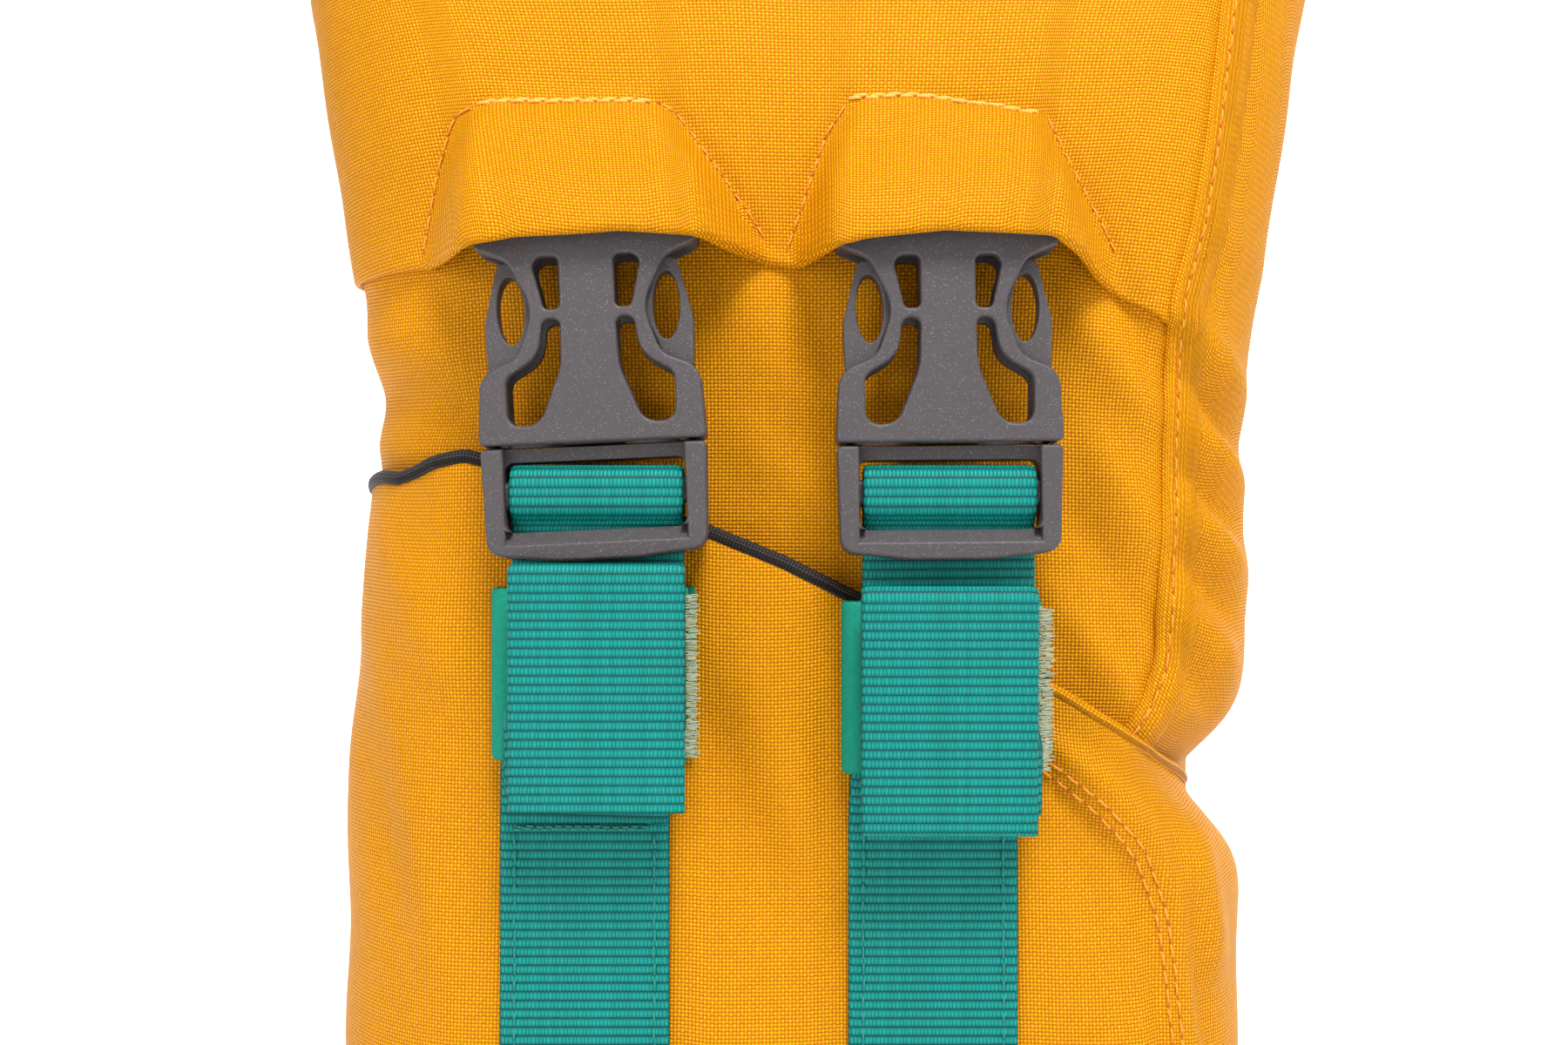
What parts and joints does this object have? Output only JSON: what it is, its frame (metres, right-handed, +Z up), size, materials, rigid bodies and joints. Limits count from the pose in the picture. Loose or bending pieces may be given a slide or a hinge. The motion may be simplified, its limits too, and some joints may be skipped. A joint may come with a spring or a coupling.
{
  "type": "dry bag",
  "caption": "Roll-top fabric dry bag with a slanted front pocket held by two buckled webbing straps, a buckled carry handle and a back ring.",
  "frame": {"origin": "middle of the base panel, on the surface the bag stands on", "axes": "+Z up along the bag, -Y out of the front with the pocket, +X to the right of someone looking at the front"},
  "size_m": [0.2082, 0.1094, 0.3948],
  "materials": {
    "shell_fabric": "heavy coated plain-weave polyester, slightly shiny yarn",
    "webbing": "ribbed woven webbing",
    "buckle_plastic": "moulded, fine speckle",
    "binding": "folded woven tape",
    "loop_tape": "short pile loop tape",
    "hook_tape": "hook tape",
    "seam_tape": "heat-bonded smooth tape",
    "stiffener": "extruded strip",
    "ring_plastic": "moulded"
  },
  "bodies": {
    "bag": {"front_panel": "shell_fabric", "back_panel": "shell_fabric", "side_seam_tape": "seam_tape", "base_seam_tape": "seam_tape", "base_panel": "shell_fabric", "collar_neck": "shell_fabric", "collar_roll": "shell_fabric", "closure_stiffener": "stiffener", "pocket_panel": "shell_fabric", "pocket_gusset": "shell_fabric", "pocket_binding": "binding", "front_cover": "shell_fabric", "left_strap_sewn": "webbing", "right_strap_sewn": "webbing", "left_anchor_tab": "webbing", "right_anchor_tab": "webbing", "d_ring_tab": "webbing"},
    "left_buckle_socket": {"left_socket": "buckle_plastic"},
    "left_strap_end": {"left_plug_frame": "buckle_plastic", "left_strap_free": "webbing", "left_keeper_loop": "loop_tape", "left_keeper_hook": "hook_tape"},
    "left_buckle_arm_left": {"left_arm_left": "buckle_plastic"},
    "left_buckle_arm_right": {"left_arm_right": "buckle_plastic"},
    "right_buckle_socket": {"right_socket": "buckle_plastic"},
    "right_strap_end": {"right_plug_frame": "buckle_plastic", "right_strap_free": "webbing", "right_keeper_loop": "loop_tape", "right_keeper_hook": "hook_tape"},
    "right_buckle_arm_left": {"right_arm_left": "buckle_plastic"},
    "right_buckle_arm_right": {"right_arm_right": "buckle_plastic"},
    "handle_right": {"closure_socket": "buckle_plastic", "closure_socket_tab": "webbing"},
    "handle_left": {"closure_plug_frame": "buckle_plastic", "closure_plug_tab": "webbing"},
    "closure_buckle_arm_left": {"closure_arm_left": "buckle_plastic"},
    "closure_buckle_arm_right": {"closure_arm_right": "buckle_plastic"},
    "ring": {"d_ring": "ring_plastic"}
  },
  "joints": [
    {"name": "left_socket_lift", "type": "hinge", "parent": "bag", "child": "left_buckle_socket", "pos_m": [-0.03185, -0.05129, 0.19286], "axis": [-0.999, 0, -0.0454], "range_deg": [0, 12]},
    {"name": "left_strap_flop", "type": "hinge", "parent": "bag", "child": "left_strap_end", "pos_m": [-0.02981, -0.05005, 0.1012], "axis": [1, 0, 0], "range_deg": [0, 90], "deforming": ["left_arm_left", "left_arm_right"]},
    {"name": "left_arm_left_squeeze", "type": "hinge", "parent": "left_strap_end", "child": "left_buckle_arm_left", "pos_m": [-0.04319, -0.0532, 0.15591], "axis": [0.0024, 0.9986, -0.0523], "range_deg": [0, 7], "stiffness_Nm_per_rad": 0.3},
    {"name": "left_arm_right_squeeze", "type": "hinge", "parent": "left_strap_end", "child": "left_buckle_arm_right", "pos_m": [-0.01721, -0.0532, 0.15709], "axis": [-0.0024, -0.9986, 0.0523], "range_deg": [0, 7], "stiffness_Nm_per_rad": 0.3},
    {"name": "right_socket_lift", "type": "hinge", "parent": "bag", "child": "right_buckle_socket", "pos_m": [0.02088, -0.05129, 0.1929], "axis": [-1, 0, -0.0087], "range_deg": [0, 12]},
    {"name": "right_strap_flop", "type": "hinge", "parent": "bag", "child": "right_strap_end", "pos_m": [0.02127, -0.05005, 0.1012], "axis": [1, 0, 0], "range_deg": [0, 75], "deforming": ["right_arm_left", "right_arm_right"]},
    {"name": "right_arm_left_squeeze", "type": "hinge", "parent": "right_strap_end", "child": "right_buckle_arm_left", "pos_m": [0.0082, -0.0532, 0.15639], "axis": [0.0005, 0.9986, -0.0523], "range_deg": [0, 7], "stiffness_Nm_per_rad": 0.3},
    {"name": "right_arm_right_squeeze", "type": "hinge", "parent": "right_strap_end", "child": "right_buckle_arm_right", "pos_m": [0.0342, -0.0532, 0.15661], "axis": [-0.0005, -0.9986, 0.0523], "range_deg": [0, 7], "stiffness_Nm_per_rad": 0.3},
    {"name": "handle_right_swing", "type": "hinge", "parent": "bag", "child": "handle_right", "pos_m": [0.09618, 0, 0.34389], "axis": [0, 1, 0], "range_deg": [0, 100]},
    {"name": "handle_left_swing", "type": "hinge", "parent": "bag", "child": "handle_left", "pos_m": [-0.09618, 0, 0.34389], "axis": [0, -1, 0], "range_deg": [0, 100], "deforming": ["closure_arm_left", "closure_arm_right"]},
    {"name": "closure_arm_left_squeeze", "type": "hinge", "parent": "handle_left", "child": "closure_buckle_arm_left", "pos_m": [-0.012, 0.013, 0.391], "axis": [0, 0, -1], "range_deg": [0, 7], "stiffness_Nm_per_rad": 0.3},
    {"name": "closure_arm_right_squeeze", "type": "hinge", "parent": "handle_left", "child": "closure_buckle_arm_right", "pos_m": [-0.012, -0.013, 0.391], "axis": [0, 0, 1], "range_deg": [0, 7], "stiffness_Nm_per_rad": 0.3},
    {"name": "d_ring_swing", "type": "hinge", "parent": "bag", "child": "ring", "pos_m": [0, 0.04655, 0.168], "axis": [1, 0, 0], "range_deg": [0, 150]}
  ]
}
